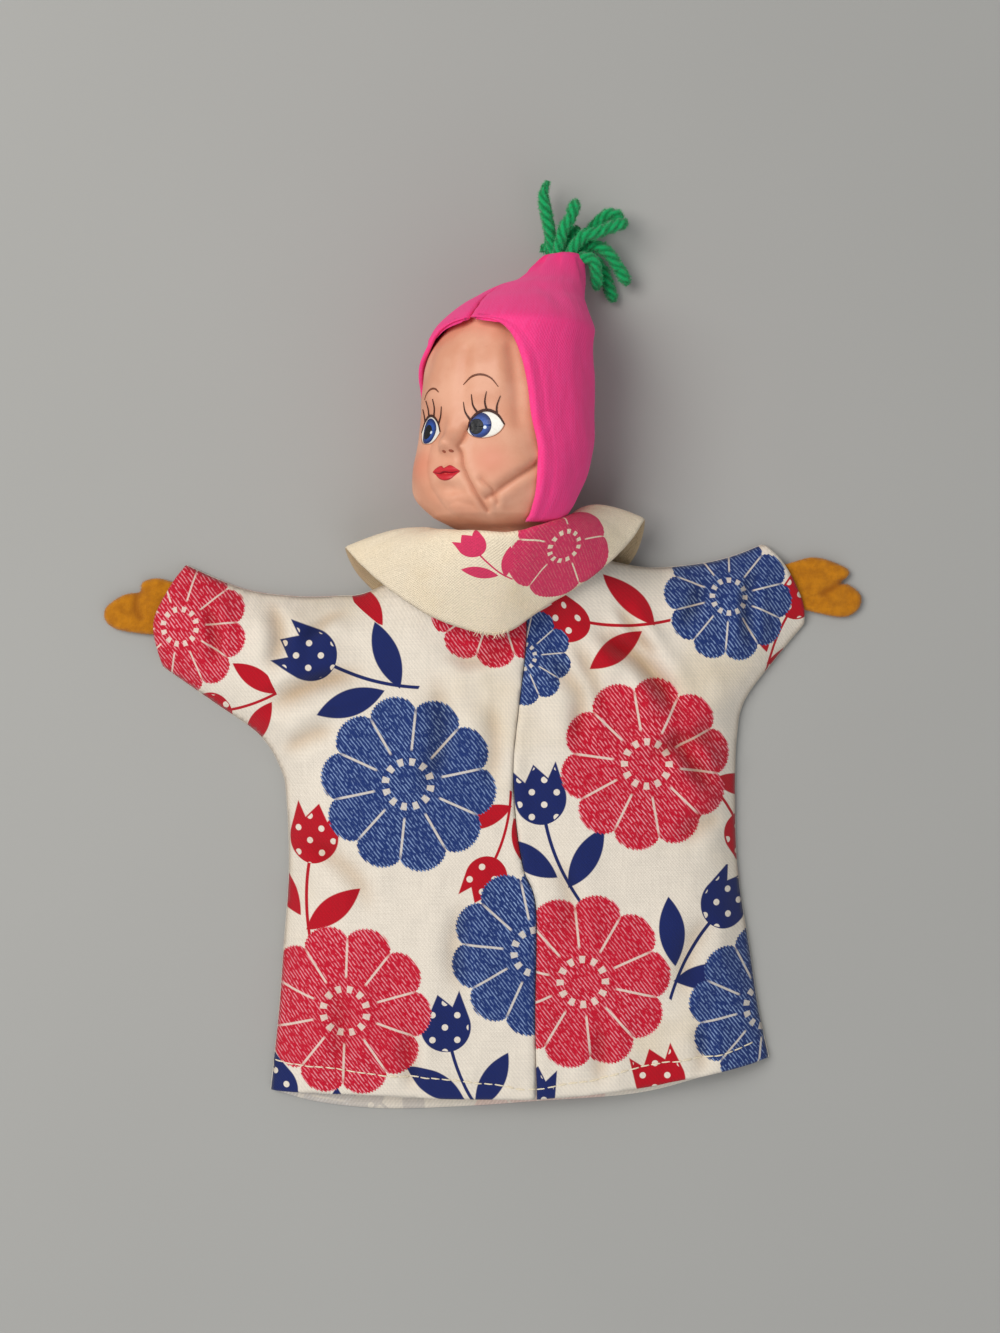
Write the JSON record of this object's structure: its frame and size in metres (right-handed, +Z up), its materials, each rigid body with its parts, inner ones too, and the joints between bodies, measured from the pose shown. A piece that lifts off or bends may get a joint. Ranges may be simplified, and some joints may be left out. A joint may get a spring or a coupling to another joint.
{
  "type": "elf hand puppet",
  "caption": "Glove puppet lying on its back: hollow moulded head in a pointed hood with a yarn tuft, round collar, printed cotton glove with felt hands.",
  "frame": {"origin": "centre of the bounding box at its lowest face, on the table that the puppet lies on", "axes": "+Y from the hem towards the head, +Z up from the table, +X to the right seen from above"},
  "size_m": [0.2302, 0.2804, 0.0531],
  "materials": {
    "skin": "satin moulded plastic with a painted face, dented",
    "flannel": "brushed flannel",
    "yarn": "fuzzy plied yarn",
    "collar_cotton": "crepe-woven cotton with one large printed blossom",
    "cotton": "plain-woven cotton with a bold blossom and tulip print",
    "felt": "wool felt"
  },
  "bodies": {
    "root": {"head_shell": "skin", "hood_left": "flannel", "hood_right": "flannel", "yarn_1": "yarn", "yarn_2": "yarn", "yarn_3": "yarn", "yarn_4": "yarn", "yarn_5": "yarn", "yarn_6": "yarn", "yarn_7": "yarn", "yarn_8": "yarn", "yarn_9": "yarn", "collar": "collar_cotton", "front_left_panel": "cotton", "front_right_panel": "cotton", "back_panel": "cotton", "hand_left": "felt", "hand_right": "felt"}
  },
  "joints": []
}
